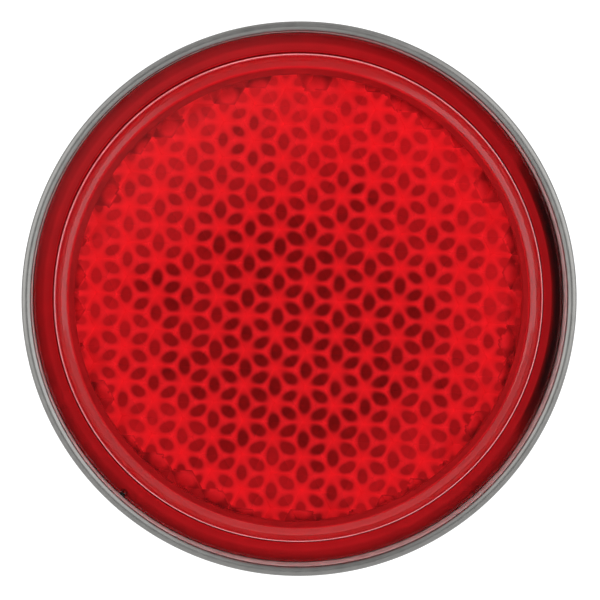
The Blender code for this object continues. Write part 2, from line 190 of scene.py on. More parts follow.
def grid_faces(rows, columns, close_rows):
    """Quads of a grid whose columns wrap round, and whose rows may wrap too.

    Row i and i + 1, column j and j + 1 give one quad; the point's number is
    i * columns + j.
    """
    last = rows if close_rows else rows - 1
    i = np.arange(last)[:, None]
    j = np.arange(columns)[None, :]
    below = ((i + 1) % rows) * columns
    beside = (j + 1) % columns
    quads = np.stack(
        [i * columns + j, i * columns + beside, below + beside, below + j], axis=-1
    )
    return quads.reshape(-1, 4)


def polar_points(radius, y, turn, centre=(0, 0)):
    """Point (i, j) is (x0 + r cos t_j, y, z0 + r sin t_j), with r and y arrays over i, j."""
    radius, y, turn = np.broadcast_arrays(radius, y, turn)
    return np.stack(
        [centre[0] + radius * np.cos(turn), y, centre[1] + radius * np.sin(turn)], axis=-1
    )


def turned_points(profile, steps, centre=(0, 0)):
    """Spin a profile of (radius, y): point (i, j) is (r_i cos t_j, y_i, r_i sin t_j)."""
    profile = np.asarray(profile, float)
    turn = np.arange(steps) / steps * TAU
    return polar_points(profile[:, :1], profile[:, 1:], turn, centre)


def loop_piece(name, grid, *rest, **more):
    """A closed ring from a grid of points whose rows and columns both wrap round."""
    points = grid.reshape(-1, 3)
    faces = grid_faces(grid.shape[0], grid.shape[1], True)
    return make_piece(name, points, outward(points, faces).tolist(), *rest, **more)


def ring_piece(name, profile, steps, *rest, **more):
    """Closed ring: the profile runs round once and joins its own start."""
    return loop_piece(name, turned_points(profile, steps), *rest, **more)


def volume_of(points, faces):
    """Signed volume: the sum of a . (b x c) / 6 over each face's triangles."""
    a = points[faces[:, 0]]
    total = 0.0
    for k in range(1, faces.shape[1] - 1):
        total += np.einsum("ij,ij->", a, np.cross(points[faces[:, k]], points[faces[:, k + 1]]))
    return total / 6


def outward(points, faces):
    """The faces, turned round if they enclose a negative volume."""
    return faces[:, ::-1] if volume_of(points, faces) < 0 else faces


def plug_piece(name, grid, front, back, *rest, **more):
    """Closed solid from a grid of rings: a fan to one axis point closes each end."""
    rows, steps = grid.shape[:2]
    points = np.concatenate([grid.reshape(-1, 3), [front, back]])
    j = np.arange(steps)
    beside = (j + 1) % steps
    end = (rows - 1) * steps
    tip = np.full(steps, rows * steps)
    fan_front = np.stack([tip, beside, j], axis=-1)
    fan_back = np.stack([tip + 1, end + j, end + beside], axis=-1)
    quads = grid_faces(rows, steps, False)
    whole = np.concatenate([quads[:, [0, 1, 2]], quads[:, [0, 2, 3]], fan_front, fan_back])
    if volume_of(points, whole) < 0:
        quads, fan_front, fan_back = quads[:, ::-1], fan_front[:, ::-1], fan_back[:, ::-1]
    faces = quads.tolist() + fan_front.tolist() + fan_back.tolist()
    return make_piece(name, points, faces, *rest, **more)


def solid_piece(name, profile, steps, *rest, centre=(0, 0), **more):
    """Closed solid of revolution: the profile starts and ends on the axis."""
    profile = np.asarray(profile, float)
    grid = turned_points(profile[1:-1], steps, centre)
    front = (centre[0], profile[0, 1], centre[1])
    back = (centre[0], profile[-1, 1], centre[1])
    return plug_piece(name, grid, front, back, *rest, **more)


def arc(centre, radius, start, stop, steps):
    """(r, y) points on an arc; 0 degrees points outwards and 90 degrees backwards."""
    angle = np.radians(np.linspace(start, stop, steps + 1))
    points = np.stack([centre[0] + radius * np.cos(angle), centre[1] + radius * np.sin(angle)], 1)
    return points.tolist()


def rounded(corners, radius, steps=4):
    """A closed profile with each corner replaced by a small curve.

    Each corner c becomes the quadratic curve that leaves the side before it a
    distance radius ahead of c, bends about c, and joins the side after it.
    """
    corners = np.asarray(corners, float)
    before = np.roll(corners, 1, axis=0) - corners
    after = np.roll(corners, -1, axis=0) - corners
    size_before = np.linalg.norm(before, axis=1, keepdims=True)
    size_after = np.linalg.norm(after, axis=1, keepdims=True)
    start = corners + before / size_before * np.minimum(radius, size_before / 2.2)
    stop = corners + after / size_after * np.minimum(radius, size_after / 2.2)
    t = np.linspace(0, 1, steps + 1)[None, :, None]
    start, bend, stop = start[:, None], corners[:, None], stop[:, None]
    curve = (1 - t) ** 2 * start + 2 * t * (1 - t) * bend + t**2 * stop
    return curve.reshape(-1, 2).tolist()


# ---- the lens ---------------------------------------------------------------------
def prism_grid(field):
    """Points and triangles of a triangular grid that fits the prisms.

    The grid's two directions run from a prism's centre to two neighbouring
    corners, so ridges and valleys lie on grid lines. Points inside the round
    field are kept, and the outermost are moved out onto its edge.
    """
    corner = PRISM_PITCH / np.sqrt(3) / PRISM_CUTS
    first = corner * np.array([np.cos(PRISM_TURN), np.sin(PRISM_TURN)])
    second = corner * np.array([np.cos(PRISM_TURN + TAU / 6), np.sin(PRISM_TURN + TAU / 6)])
    half = int(GRID_SPREAD * field / corner)
    steps = np.arange(-half, half + 1)
    a, b = np.meshgrid(steps, steps, indexing="ij")
    flat = PRISM_SHIFT + a[..., None] * first + b[..., None] * second
    inside = np.hypot(flat[..., 0], flat[..., 1]) <= field - EDGE_GAP * corner
    number = np.full(inside.shape, -1)
    number[inside] = np.arange(inside.sum())
    p, q, r, s = number[:-1, :-1], number[1:, :-1], number[:-1, 1:], number[1:, 1:]
    triangles = np.concatenate([np.stack([p, r, q], -1), np.stack([q, r, s], -1)]).reshape(-1, 3)
    triangles = triangles[(triangles >= 0).all(axis=1)]
    used, triangles = np.unique(triangles, return_inverse=True)
    triangles = triangles.reshape(-1, 3)
    return flat[inside][used], triangles


def border_of(triangles):
    """The outline of a sheet of triangles as point numbers in order."""
    edges = np.concatenate([triangles[:, [0, 1]], triangles[:, [1, 2]], triangles[:, [2, 0]]])
    top = triangles.max() + 1
    code = edges[:, 0] * top + edges[:, 1]
    single = ~np.isin(code, edges[:, 1] * top + edges[:, 0])
    follows = dict(zip(edges[single, 0].tolist(), edges[single, 1].tolist()))
    start = next(iter(follows))
    order = [start]
    while follows[order[-1]] != start:
        order.append(follows[order[-1]])
    return np.array(order)


def prism_cells(flat):
    """Centres of the four prisms nearest to each point, as an (n, 4, 2) array."""
    up = PRISM_PITCH * np.array([-np.sin(PRISM_TURN), np.cos(PRISM_TURN)])
    across = PRISM_PITCH * np.array(
        [np.cos(PRISM_TURN + TAU / 12), np.sin(PRISM_TURN + TAU / 12)]
    )
    steps = np.stack([across, up])
    near = np.floor((flat - PRISM_SHIFT) @ np.linalg.inv(steps))
    corners = near[:, None, :] + np.array([[0, 0], [1, 0], [0, 1], [1, 1]])
    return PRISM_SHIFT + corners @ steps


def prism_surface(flat):
    """Depth of the prisms behind the web, and the centre of each point's prism.

    One prism is the lower envelope of three planes that fall away from its
    point with slope sqrt(2), 120 degrees apart; the soft minimum
    -k log(sum(exp(-h / k))) of them rounds its ridges a little. The field is
    the highest of the nearest prisms, which leaves the valleys sharp.
    """
    drop = PRISM_PITCH / np.sqrt(6)
    falls = PRISM_TURN + TAU / 6 + np.arange(3) * TAU / 3
    direction = np.stack([np.cos(falls), np.sin(falls)])
    centres = prism_cells(flat)
    planes = 2 * drop - np.sqrt(2) * ((flat[:, None, :] - centres) @ direction)
    least = planes.min(axis=2)
    excess = np.exp((least[..., None] - planes) / RIDGE_SOFTNESS).sum(axis=2)
    height = least - RIDGE_SOFTNESS * np.log(excess)
    nearest = np.linalg.norm(flat[:, None, :] - centres, axis=2).argmin(axis=1)
    own = centres[np.arange(len(flat)), nearest]
    return PRISM_STEP + height.max(axis=1), own


def wave(flat, seed, length):
    """Smooth noise, mostly from -1 to 1: 1.6 times the mean of five sine waves.

    Wave k runs in the direction 1.7 seed + 2.4 k, in radians, with the length
    over (0.7 + 0.15 k), and starts at phase 5.1 seed + 1.3 k.
    """
    k = np.arange(5)
    heading = seed * 1.7 + k * 2.4
    pace = TAU / length * (0.7 + 0.15 * k)
    phase = flat[:, :1] * np.cos(heading) * pace + flat[:, 1:] * np.sin(heading) * pace
    return np.sin(phase + seed * 5.1 + k * 1.3).mean(axis=1) * 1.6


def from_darkest(middle):
    """Distance from the field's darkest painted place, a little below its middle."""
    return np.hypot(middle[:, 0] / FADE_RADIUS, middle[:, 1] / FADE_RADIUS + FADE_DROP)


def painted_oval_distance(flat, centre):
    """The middle of each point's dark oval of painted reflection, and how far it is outside it,
    in mm.

    An oval lies midway between two prisms' points. With u along the line
    through both points and v across it, both from the oval's middle, the
    distance is (sqrt((u / long)^2 + (v / short)^2) - 1) short. The ovals are
    a little uneven, and as painted light they shrink towards the top and the
    two sides of the field.
    """
    offset = flat - centre
    length = np.linalg.norm(offset, axis=1)
    angle = np.arctan2(offset[:, 1], offset[:, 0]) - PRISM_TURN
    facing = TAU / 12 + TAU / 6 * np.floor(angle / (TAU / 6))
    middle = centre + PRISM_PITCH / 2 * np.stack(
        [np.cos(facing + PRISM_TURN), np.sin(facing + PRISM_TURN)], axis=1
    )
    u = length * np.cos(angle - facing) - PRISM_PITCH / 2
    v = length * np.sin(angle - facing)
    away = np.clip(from_darkest(middle) - 0.5, 0, None)
    share = 1 - 0.6 * away + 0.07 * wave(middle, 1, 9 * MM) + 0.06 * wave(middle, 4, 2.3 * MM)
    share += 0.06 * wave(flat, 5, 1.7 * MM)
    far = np.hypot(u / (OVAL_LONG * share), v / (OVAL_SHORT * share))
    return middle, (far - 1) * OVAL_SHORT * share / MM


def painted_oval_light(middle):
    """Painted light on the dark ovals: paleness 0 round the darkest place, rising
    in uneven patches to 0.6 at most towards the top and sides."""
    away = from_darkest(middle) - 0.42
    patches = 0.16 * wave(middle, 2, 14 * MM) + 0.07 * wave(middle, 3, 2.1 * MM)
    return np.clip(0.85 * away + patches, 0, PALEST_OVAL)


def part_prism_highlight(flat, centre, field):
    """Painted highlight on a prism cut by the field's edge: a soft pale spot on a dark ground.

    With d the distance from a point just inside the edge, in line with the
    prism's centre, it is 1.7 - d / size, held between 0.4 and 1.
    """
    inwards = (field - PART_SPOT) / np.linalg.norm(centre, axis=1, keepdims=True)
    distance = np.linalg.norm(flat - centre * inwards, axis=1)
    return np.clip(1.7 - distance / PART_SPOT, PART_GROUND, 1)


def zipper(inner, inner_angle, outer, outer_angle):
    """Triangles between two closed rows of points, both sorted by angle.

    The angles are merged into one order; each next point makes a triangle
    with the newest point before it on either row.
    """
    count = len(inner) + len(outer)
    angle = np.concatenate([inner_angle, outer_angle])
    is_inner = np.arange(count) < len(inner)
    order = np.argsort(angle, kind="stable")
    inner_step = np.cumsum(is_inner[order]) - 1
    outer_step = np.cumsum(~is_inner[order]) - 1
    took_inner = is_inner[order]
    last_inner = inner[np.where(took_inner, inner_step - 1, inner_step) % len(inner)]
    last_outer = outer[np.where(took_inner, outer_step, outer_step - 1) % len(outer)]
    newest = np.where(took_inner, inner[inner_step % len(inner)], outer[outer_step % len(outer)])
    return np.stack([last_inner, newest, last_outer], axis=-1)


def lens_profile(field):
    """(r, y) from the edge of the prisms round the outside to the front's middle."""
    web = LENS_FRONT + WEB
    flange = LENS_FRONT + FLANGE_DEPTH
    behind = flange + FLANGE_THICKNESS
    skirt = LENS_RADIUS - SKIRT_WALL
    round_centre = (LENS_RADIUS - LENS_ROUND, LENS_FRONT + LENS_ROUND)
    profile = [
        [field, web], [skirt - EDGE_BREAK, web], [skirt, web + EDGE_BREAK],
        [skirt, LENS_BACK - EDGE_BREAK], [skirt + EDGE_BREAK, LENS_BACK],
        [LENS_RADIUS - EDGE_BREAK, LENS_BACK], [LENS_RADIUS, LENS_BACK - EDGE_BREAK],
        [LENS_RADIUS, behind],
    ]
    across = np.linspace(LENS_RADIUS, FLANGE_EDGE, FLANGE_ROWS + 1)[1:]
    profile += [[radius, behind] for radius in across]
    profile += arc((FLANGE_EDGE - FLANGE_ROUND, flange + FLANGE_ROUND), FLANGE_ROUND, 0, -90, 4)
    profile += [[FLANGE_EDGE - 1.6 * FLANGE_ROUND, flange]]
    profile += [[LENS_RADIUS + share * FOOT_GROOVE, flange] for share in (2.3, 2)]
    profile += arc((LENS_RADIUS + FOOT_GROOVE, flange - FOOT_SINK), FOOT_GROOVE, 70, 180, 8)
    profile += arc((LENS_RADIUS + FOOT_SINK, flange - RIB_PLACE), RIB, 75, -75, 6)
    profile += arc(round_centre, LENS_ROUND, 0, -90, 24)
    profile += [[share * round_centre[0], LENS_FRONT] for share in FACE_ROWS]
    return np.array(profile)


def flange_painted_light(points, across):
    """Painted light and shade on the flange's back: a dark line of painted shade
    round the lens, a pale band of painted light outside it that fades outwards
    into painted shade, a black streak of painted shade along the right, and
    black painted shade round the notch."""
    heading = np.arctan2(points[:, 2], points[:, 0])
    paleness_and_painted_light = np.interp(across / MM, *zip(*FLANGE_PAINTED_LIGHT))
    right = np.clip((np.cos(heading) - SHADE_STREAK_START) / SHADE_STREAK_FADE, 0, 1)
    streak_shade = np.interp(across / MM, *zip(*SHADE_STREAK_LEVELS))
    notch = np.hypot((heading % TAU - NOTCH_ANGLE) * across, across - FLANGE_RADIUS)
    black = np.maximum(right * streak_shade, np.clip(1.6 - notch / NOTCH_RADIUS, 0, 1))
    return paleness_and_painted_light * (1 - black) - BLACKEST * black


def lens_turns():
    """Even angles round the lens, with extra ones across the notch in its flange."""
    even = np.arange(AROUND) / AROUND * TAU
    half = 1.5 * NOTCH_RADIUS / FLANGE_RADIUS
    extra = NOTCH_ANGLE + np.linspace(-half, half, NOTCH_CUTS)
    return np.sort(np.concatenate([even, extra]))


def notched(grid, turns):
    """Move the turned grid of points in at the flange's notch and the gate mark.

    At arc distance s from the notch's middle the flange's edge moves in by
    sqrt(R^2 - s^2), and points further in by less, down to none at the
    notch's fade. The gate mark is a shallow dent of depth times
    (1 - (s / half)^2) exp(-(offset / width)^2).
    """
    across = np.hypot(grid[..., 0], grid[..., 2])
    arc_length = (turns - NOTCH_ANGLE) * FLANGE_RADIUS
    bite = np.sqrt(np.clip(NOTCH_RADIUS**2 - arc_length**2, 0, None))
    near = np.clip((across - FLANGE_EDGE + NOTCH_FADE) / NOTCH_FADE, 0, 1)
    along = (turns - GATE_ANGLE) * GATE_RADIUS
    dent = GATE_DEPTH * np.clip(1 - (along / GATE_HALF) ** 2, 0, None)
    front = grid[..., 1] < LENS_FRONT + LENS_ROUND
    offset = (across - GATE_RADIUS) / GATE_WIDTH
    shift = bite * near + dent * front * np.exp(-offset**2)
    share = 1 - shift / np.maximum(across, MM)
    return grid * np.stack([share, np.ones_like(share), share], axis=-1)


def make_lens(front_finish, back_finish, rib_highlight_finish):
    """The clear red moulding: prism field, and everything else turned.

    The sheet of prisms is joined to the turned grid by a zipper of triangles
    in the web's plane; a fan closes the middle of the face.
    """
    field = LENS_RADIUS - LENS_MARGIN
    flat, triangles = prism_grid(field)
    border = border_of(triangles)
    radius = np.hypot(flat[border, 0], flat[border, 1])
    flat[border] *= (field / radius)[:, None]
    depth, centre = prism_surface(flat)
    depth += LENS_FRONT + WEB
    back = np.stack([flat[:, 0], depth, flat[:, 1]], axis=-1)
    foot = back[border].copy()
    foot[:, 1] = LENS_FRONT + WEB
    angle = np.mod(np.arctan2(flat[border, 1], flat[border, 0]), TAU)
    order = np.argsort(angle)
    profile = lens_profile(field)[1:]
    turns = lens_turns()
    columns = len(turns)
    shell = notched(polar_points(profile[:, :1], profile[:, 1:], turns), turns).reshape(-1, 3)
    shell_start = len(back) + len(foot)
    tip = shell_start + len(shell)
    points = np.concatenate([back, foot, shell, [[0, LENS_FRONT, 0]]])
    rows = np.arange(len(border))
    ahead = np.roll(rows, -1)
    wall = np.stack([border[ahead], border[rows], len(back) + rows, len(back) + ahead], -1)
    j = np.arange(columns)
    strip = zipper(len(back) + order, angle[order], shell_start + j, turns)
    quads = shell_start + grid_faces(len(profile), columns, False)
    last = shell_start + (len(profile) - 1) * columns
    fan = np.stack([last + j, last + (j + 1) % columns, np.full(columns, tip)], -1)
    faces = triangles.tolist() + wall.tolist() + strip.tolist() + quads.tolist() + fan.tolist()
    lens = make_piece(
        "lens", points, faces, front_finish, "head", "red_lens", ["reflector_lens"], sharp=50.0,
    )
    lens.data.materials.append(back_finish)
    lens.data.materials.append(rib_highlight_finish)
    turned = len(triangles) + len(wall) + len(strip)
    finish_of = np.zeros(len(faces), int)
    finish_of[:turned + BACK_ROWS * columns] = 1
    finish_of[turned + RIB_ROWS[0] * columns:turned + RIB_ROWS[1] * columns] = 2
    lens.data.polygons.foreach_set("material_index", finish_of)
    # Distance outside the dark ovals of painted reflection, outside which the rays carry a
    # painted highlight.
    outside_painted_oval = np.full(len(points), DEEP_IN_OVAL)
    middle, outside_painted_oval[:len(back)] = painted_oval_distance(flat, centre)
    part_prism = np.linalg.norm(centre, axis=1) > field - PART_MARGIN
    outside_painted_oval[:len(back)][part_prism] = DEEP_IN_OVAL
    # Paleness: the plain rings' own, painted light on the ovals, painted highlight on cut prisms,
    # and painted light and shade on the flange.
    paleness_and_painted_light = np.where(points[:, 1] > LENS_FRONT + WEB + HAIR, SKIRT_TONE, MARGIN_TONE)
    spots = part_prism_highlight(flat, centre, field)
    paleness_and_painted_light[:len(back)] = np.where(part_prism, spots, painted_oval_light(middle))
    across = np.hypot(points[:, 0], points[:, 2])
    on_flange = across > LENS_RADIUS + HAIR
    paleness_and_painted_light[on_flange] = flange_painted_light(points[on_flange], across[on_flange])
    for label, values in (("outside_painted_oval", outside_painted_oval), ("paleness_and_painted_light", paleness_and_painted_light)):
        layer = lens.data.attributes.new(label, "FLOAT", "POINT")
        layer.data.foreach_set("value", values.astype(np.float32))


# ---- materials -----------------------------------------------------------------------
ACRYLIC_IOR = 1.49
FRONT_TINT = (0.98, 0.06, 0.08, 1)
FRONT_GLOSS = (0.62, 0.52, 0.54, 1)
# painted highlight along the prisms' rays
PAINTED_RAY_HIGHLIGHT = (0.98, 0.26, 0.30, 1)
# painted reflection of the dark round the camera in the ovals, mottled between these two
PAINTED_REFLECTION_DARK = (0.17, 0.024, 0.018, 1)
PAINTED_REFLECTION_LIGHT = (0.25, 0.032, 0.030, 1)
OVAL_CLEAR = 0.05
OVAL_EDGE_SPAN = (-0.5, 1.0)        # distances in mm outside the dark ovals that the stops below cover, as shares of painted highlight
PAINTED_HIGHLIGHT_STOPS = [
    (0.20, (0, 0, 0, 1)), (0.29, (0, 0, 0, 1)), (0.44, (0.64, 0.64, 0.64, 1)),
    (0.58, (0.84, 0.84, 0.84, 1)), (0.75, (0.94, 0.94, 0.94, 1)), (0.92, (1, 1, 1, 1)),
]
FACE_WAVES = 150.0              # noise scales, in waves per metre
OVAL_MOTTLE = 260.0
METAL_MOTTLE = 700.0
LATHE_MARKS = 2600.0
FINE_BUMP = 0.00002


def new_material(name):
    """An empty node material and its Principled shader."""
    made = bpy.data.materials.new(name)
    made.use_nodes = True
    return made, made.node_tree, made.node_tree.nodes["Principled BSDF"]


def set_ramp(node, stops):
    """Give a colour ramp its (position, colour) stops."""
    elements = node.color_ramp.elements
    elements[0].position, elements[1].position = stops[0][0], stops[-1][0]
    for position, colour in stops[1:-1]:
        elements.new(position)
    for element, (position, colour) in zip(elements, stops):
        element.color = colour


def shade(colour, times):
    """A colour made lighter or darker, no part above 1."""
    return (*[min(1.0, part * times) for part in colour], 1)


def clear_red():
    """Polished front of the dyed acrylic, which only tints what is behind it.

    Slow noise on the place leaves the face very slightly wavy, as moulded.
    """
    made, tree, shader = new_material("clear_red_acrylic")
    shader.inputs["Base Color"].default_value = FRONT_TINT
    shader.inputs["Specular Tint"].default_value = FRONT_GLOSS
    shader.inputs["Roughness"].default_value = 0.0
    shader.inputs["IOR"].default_value = ACRYLIC_IOR
    shader.inputs["Transmission Weight"].default_value = 1.0
    place = tree.nodes.new("ShaderNodeTexCoord")
    noise = tree.nodes.new("ShaderNodeTexNoise")
    noise.inputs["Scale"].default_value = FACE_WAVES
    tree.links.new(place.outputs["Object"], noise.inputs["Vector"])
    bump = tree.nodes.new("ShaderNodeBump")
    bump.inputs["Distance"].default_value = FINE_BUMP
    bump.inputs["Strength"].default_value = 0.5
    tree.links.new(noise.outputs["Fac"], bump.inputs["Height"])
    tree.links.new(bump.outputs["Normal"], shader.inputs["Normal"])
    return made


def prism_red():
    """Moulded back of the acrylic: a pale red painted highlight along the rays round deep red
    ovals of painted reflection.

    The share of painted highlight rises smoothly as the piece's own distance
    outside the dark ovals passes zero, reaches 1 at a prism's point, and is nowhere
    less than the piece's paleness; a paleness below zero darkens the colour as
    painted shade, down to black at -1. The dark ovals keep a little clear plastic.
    """
    made, tree, shader = new_material("red_back_painted_light")
    shader.inputs["Roughness"].default_value = 0.3
    shader.inputs["Specular IOR Level"].default_value = 0.2
    shader.inputs["IOR"].default_value = ACRYLIC_IOR
    outside_painted_oval = tree.nodes.new("ShaderNodeAttribute")
    outside_painted_oval.attribute_name = "outside_painted_oval"
    paleness_and_painted_light = tree.nodes.new("ShaderNodeAttribute")
    paleness_and_painted_light.attribute_name = "paleness_and_painted_light"
    span = tree.nodes.new("ShaderNodeMapRange")
    span.inputs["From Min"].default_value, span.inputs["From Max"].default_value = OVAL_EDGE_SPAN
    tree.links.new(outside_painted_oval.outputs["Fac"], span.inputs["Value"])
    edge = tree.nodes.new("ShaderNodeValToRGB")
    edge.color_ramp.interpolation = "B_SPLINE"
    set_ramp(edge, PAINTED_HIGHLIGHT_STOPS)
    tree.links.new(span.outputs["Result"], edge.inputs["Fac"])
    share = tree.nodes.new("ShaderNodeMath")
    share.operation = "MAXIMUM"
    tree.links.new(edge.outputs["Color"], share.inputs[0])
    tree.links.new(paleness_and_painted_light.outputs["Fac"], share.inputs[1])
    place = tree.nodes.new("ShaderNodeTexCoord")
    mottle = tree.nodes.new("ShaderNodeTexNoise")
    mottle.inputs["Scale"].default_value = OVAL_MOTTLE
    mottle.inputs["Detail"].default_value = 3.0
    tree.links.new(place.outputs["Object"], mottle.inputs["Vector"])
    dark_reflection = tree.nodes.new("ShaderNodeValToRGB")
    set_ramp(dark_reflection, [(0.3, PAINTED_REFLECTION_DARK), (0.7, PAINTED_REFLECTION_LIGHT)])
    tree.links.new(mottle.outputs["Fac"], dark_reflection.inputs["Fac"])
    mixed = tree.nodes.new("ShaderNodeMix")
    mixed.data_type = "RGBA"
    mixed.inputs[7].default_value = PAINTED_RAY_HIGHLIGHT
    tree.links.new(share.outputs["Value"], mixed.inputs[0])
    tree.links.new(dark_reflection.outputs["Color"], mixed.inputs[6])
    lit = tree.nodes.new("ShaderNodeMapRange")
    lit.inputs["From Min"].default_value = -1.0
    lit.inputs["From Max"].default_value = 0.0
    tree.links.new(paleness_and_painted_light.outputs["Fac"], lit.inputs["Value"])
    inked = tree.nodes.new("ShaderNodeVectorMath")
    inked.operation = "SCALE"
    tree.links.new(mixed.outputs[2], inked.inputs[0])
    tree.links.new(lit.outputs["Result"], inked.inputs["Scale"])
    tree.links.new(inked.outputs["Vector"], shader.inputs["Base Color"])
    clear = tree.nodes.new("ShaderNodeMapRange")
    tree.links.new(share.outputs["Value"], clear.inputs["Value"])
    tree.links.new(lit.outputs["Result"], clear.inputs["To Min"])
    clear.inputs["To Max"].default_value = 0.0
    thin = tree.nodes.new("ShaderNodeMath")
    thin.operation = "MULTIPLY"
    thin.inputs[1].default_value = OVAL_CLEAR
    tree.links.new(clear.outputs["Result"], thin.inputs[0])
    tree.links.new(thin.outputs["Value"], shader.inputs["Transmission Weight"])
    return made


def metal(name, colour, roughness, marks):
    """Sheet or bar metal: mottled plate over fine marks left by the lathe.

    The mottling is noise on the place itself. The marks are noise on the
    distance from the stud's axis and the place along it, so they run round.
    """
    made, tree, shader = new_material(name)

    def noise(vector, scale, detail):
        node = tree.nodes.new("ShaderNodeTexNoise")
        node.inputs["Scale"].default_value = scale
        node.inputs["Detail"].default_value = detail
        tree.links.new(vector, node.inputs["Vector"])
        return node.outputs["Fac"]

    shader.inputs["Metallic"].default_value = 1.0
    place = tree.nodes.new("ShaderNodeTexCoord")
    mottle = noise(place.outputs["Object"], METAL_MOTTLE, 4.0)
    apart = tree.nodes.new("ShaderNodeSeparateXYZ")
    tree.links.new(place.outputs["Object"], apart.inputs["Vector"])
    across = tree.nodes.new("ShaderNodeCombineXYZ")
    tree.links.new(apart.outputs["X"], across.inputs["X"])
    tree.links.new(apart.outputs["Z"], across.inputs["Z"])
    length = tree.nodes.new("ShaderNodeVectorMath")
    length.operation = "LENGTH"
    tree.links.new(across.outputs["Vector"], length.inputs[0])
    track = tree.nodes.new("ShaderNodeCombineXYZ")
    tree.links.new(length.outputs["Value"], track.inputs["X"])
    tree.links.new(apart.outputs["Y"], track.inputs["Y"])
    lathe = noise(track.outputs["Vector"], LATHE_MARKS, 2.0)
    mixed = tree.nodes.new("ShaderNodeMix")
    mixed.inputs["Factor"].default_value = marks
    tree.links.new(mottle, mixed.inputs["A"])
    tree.links.new(lathe, mixed.inputs["B"])
    ramp = tree.nodes.new("ShaderNodeValToRGB")
    set_ramp(ramp, [(0.25, shade(colour, 0.75)), (0.75, shade(colour, 1.2))])
    tree.links.new(mixed.outputs["Result"], ramp.inputs["Fac"])
    tree.links.new(ramp.outputs["Color"], shader.inputs["Base Color"])
    span = tree.nodes.new("ShaderNodeMapRange")
    span.inputs["To Min"].default_value = roughness * 0.75
    span.inputs["To Max"].default_value = roughness * 1.25
    tree.links.new(mixed.outputs["Result"], span.inputs["Value"])
    tree.links.new(span.outputs["Result"], shader.inputs["Roughness"])
    bump = tree.nodes.new("ShaderNodeBump")
    bump.inputs["Distance"].default_value = FINE_BUMP
    bump.inputs["Strength"].default_value = 0.35
    tree.links.new(lathe, bump.inputs["Height"])
    tree.links.new(bump.outputs["Normal"], shader.inputs["Normal"])
    return made


def dull(name, colour, roughness, scale, depth):
    """Rubber, sealant or moulded plastic with a fine, slightly mottled grain."""
    made, tree, shader = new_material(name)
    shader.inputs["Roughness"].default_value = roughness
    place = tree.nodes.new("ShaderNodeTexCoord")
    noise = tree.nodes.new("ShaderNodeTexNoise")
    noise.inputs["Scale"].default_value = scale
    noise.inputs["Detail"].default_value = 5.0
    tree.links.new(place.outputs["Object"], noise.inputs["Vector"])
    bump = tree.nodes.new("ShaderNodeBump")
    bump.inputs["Distance"].default_value = depth
    tree.links.new(noise.outputs["Fac"], bump.inputs["Height"])
    tree.links.new(bump.outputs["Normal"], shader.inputs["Normal"])
    ramp = tree.nodes.new("ShaderNodeValToRGB")
    set_ramp(ramp, [(0.3, shade(colour, 0.85)), (0.7, shade(colour, 1.12))])
    tree.links.new(noise.outputs["Fac"], ramp.inputs["Fac"])
    tree.links.new(ramp.outputs["Color"], shader.inputs["Base Color"])
    return made


RED = clear_red()
PRISM_RED = prism_red()
RIM_METAL = metal("satin_rim_metal", (0.152, 0.150, 0.145), 0.40, 0.6)
# Pinkish and much paler than the rim's own metal: painted red reflection of the lens and painted
# light on the cup's inner wall.
WALL_METAL_PAINTED_REFLECTION = metal("wall_metal_painted_red_reflection", (0.62, 0.56, 0.55), 0.6, 0.3)
ZINC = metal("zinc_plate", (0.42, 0.42, 0.40), 0.28, 0.25)
SEALANT = dull("light_sealant", (0.60, 0.58, 0.55), 0.6, 700.0, 0.00005)
PAD_RUBBER = dull("black_pad_rubber", (0.016, 0.016, 0.017), 0.7, 1500.0, 0.0001)
# Pale pink on the raised line round the lens's foot: a painted highlight of the lens's edge.
RIB_PAINTED_HIGHLIGHT = dull("red_rib_painted_highlight", (0.75, 0.30, 0.33), 0.4, 2500.0, 0.00004)
WHITE_PLASTIC = dull("white_plastic", (0.80, 0.80, 0.77), 0.45, 900.0, 0.00002)


# ---- the other pieces -------------------------------------------------------------------
def rim_profile():
    """(r, y) round the drawn cup: bead, wall, ledge, lower wall, floor."""
    wall_outer = RIM_RADIUS - BEAD_RADIUS
    wall_inner = wall_outer - SHEET
    cup_inner = LENS_RADIUS + CUP_GAP
    cup_outer = cup_inner + SHEET
    ledge = SEAL_BACK + CUP_GAP
    floor_front = RIM_BACK - SHEET
    centre = (cup_outer - CUP_CORNER, RIM_BACK - CUP_CORNER)
    bead = (RIM_RADIUS - BEAD_RADIUS, RIM_FRONT + BEAD_RADIUS)
    profile = arc(bead, BEAD_RADIUS, -180, 90, 30)
    under = ledge + SHEET
    profile += [[wall_outer, ledge - LEDGE_ROUND]]
    profile += arc((wall_outer - LEDGE_ROUND, under - LEDGE_ROUND), LEDGE_ROUND, 0, 90, 6)
    profile += arc((cup_outer + LEDGE_FOOT, under + LEDGE_FOOT), LEDGE_FOOT, -90, -180, 4)
    profile += arc(centre, CUP_CORNER, 0, 90, 12)
    profile += [[STUD_HOLE + HOLE_BREAK, RIM_BACK], [STUD_HOLE, RIM_BACK - HOLE_BREAK]]
    profile += [[STUD_HOLE, floor_front]]
    profile += arc(centre, CUP_CORNER - SHEET, 90, 0, 12)
    profile += [[cup_inner, ledge], [wall_inner, ledge]]
    return profile


RIM_PROFILE = rim_profile()
rim = ring_piece(
    "rim", RIM_PROFILE, AROUND, RIM_METAL, "head", "rim_metal", replaced=["rim_housing"],
)
